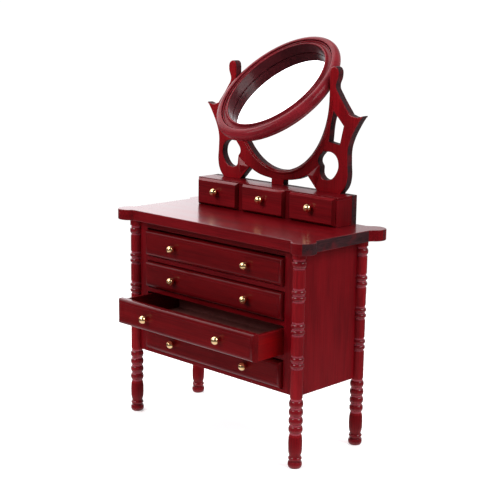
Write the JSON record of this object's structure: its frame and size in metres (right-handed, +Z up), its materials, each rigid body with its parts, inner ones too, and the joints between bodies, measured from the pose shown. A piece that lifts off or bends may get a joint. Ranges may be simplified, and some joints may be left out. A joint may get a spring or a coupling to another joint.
{
  "type": "miniature dressing table",
  "caption": "Dolls' house dressing table: chest of drawers on turned posts, small drawer case on top and a tilting oval mirror in a fretsawn harp.",
  "frame": {"origin": "on the floor, at the middle of the overall box as modelled, with the third drawer open and the mirror tipped back", "axes": "+Z up, front faces -Y, +X to the right seen from the front"},
  "size_m": [0.0912, 0.0692, 0.1359],
  "materials": {
    "red_lacquer": "deep red stain under gloss lacquer, sawn edges darker",
    "plain_inside": "thinly stained, dull",
    "brass": "polished",
    "mirror_glass": "silvered glass"
  },
  "bodies": {
    "root": {"post_front_left": "red_lacquer", "post_front_right": "red_lacquer", "post_back_left": "red_lacquer", "post_back_right": "red_lacquer", "side_panel_left": "red_lacquer", "side_panel_right": "red_lacquer", "drawer_guide_left": "red_lacquer", "drawer_guide_right": "red_lacquer", "back_panel": "red_lacquer", "bottom_board": "red_lacquer", "shelf_1": "red_lacquer", "shelf_2": "red_lacquer", "shelf_3": "red_lacquer", "top_rail": "red_lacquer", "table_top": "red_lacquer", "case_top": "red_lacquer", "case_end_left": "red_lacquer", "case_end_right": "red_lacquer", "case_partition_left": "red_lacquer", "case_partition_right": "red_lacquer", "harp_board": "red_lacquer", "pivot_pin_left": "brass", "pivot_pin_right": "brass"},
    "drawer_1": {"drawer_1_front": "red_lacquer", "drawer_1_side_left": "red_lacquer", "drawer_1_side_right": "red_lacquer", "drawer_1_back": "plain_inside", "drawer_1_base": "plain_inside", "drawer_1_knob_left": "brass", "drawer_1_knob_right": "brass"},
    "drawer_2": {"drawer_2_front": "red_lacquer", "drawer_2_side_left": "red_lacquer", "drawer_2_side_right": "red_lacquer", "drawer_2_back": "plain_inside", "drawer_2_base": "plain_inside", "drawer_2_knob_left": "brass", "drawer_2_knob_right": "brass"},
    "drawer_3": {"drawer_3_front": "red_lacquer", "drawer_3_side_left": "red_lacquer", "drawer_3_side_right": "red_lacquer", "drawer_3_back": "plain_inside", "drawer_3_base": "plain_inside", "drawer_3_knob_left": "brass", "drawer_3_knob_right": "brass"},
    "drawer_4": {"drawer_4_front": "red_lacquer", "drawer_4_side_left": "red_lacquer", "drawer_4_side_right": "red_lacquer", "drawer_4_back": "plain_inside", "drawer_4_base": "plain_inside", "drawer_4_knob_left": "brass", "drawer_4_knob_right": "brass"},
    "small_drawer_left": {"small_drawer_left": "red_lacquer", "small_drawer_left_knob": "brass"},
    "small_drawer_middle": {"small_drawer_middle": "red_lacquer", "small_drawer_middle_knob": "brass"},
    "small_drawer_right": {"small_drawer_right": "red_lacquer", "small_drawer_right_knob": "brass"},
    "mirror": {"mirror_frame": "red_lacquer", "mirror_glass": "mirror_glass"}
  },
  "joints": [
    {"name": "drawer_1_slide", "type": "slide", "parent": "root", "child": "drawer_1", "axis": [0, -1, 0], "range_m": [0, 0.02]},
    {"name": "drawer_2_slide", "type": "slide", "parent": "root", "child": "drawer_2", "axis": [0, -1, 0], "range_m": [0, 0.02]},
    {"name": "drawer_3_slide", "type": "slide", "parent": "root", "child": "drawer_3", "axis": [0, -1, 0], "range_m": [-0.0126, 0.0074]},
    {"name": "drawer_4_slide", "type": "slide", "parent": "root", "child": "drawer_4", "axis": [0, -1, 0], "range_m": [0, 0.02]},
    {"name": "small_drawer_left_slide", "type": "slide", "parent": "root", "child": "small_drawer_left", "axis": [0, -1, 0], "range_m": [0, 0.005]},
    {"name": "small_drawer_middle_slide", "type": "slide", "parent": "root", "child": "small_drawer_middle", "axis": [0, -1, 0], "range_m": [0, 0.005]},
    {"name": "small_drawer_right_slide", "type": "slide", "parent": "root", "child": "small_drawer_right", "axis": [0, -1, 0], "range_m": [0, 0.005]},
    {"name": "mirror_tilt", "type": "hinge", "parent": "root", "child": "mirror", "pos_m": [0, 0.01617, 0.1195], "axis": [1, 0, 0], "continuous": true}
  ]
}
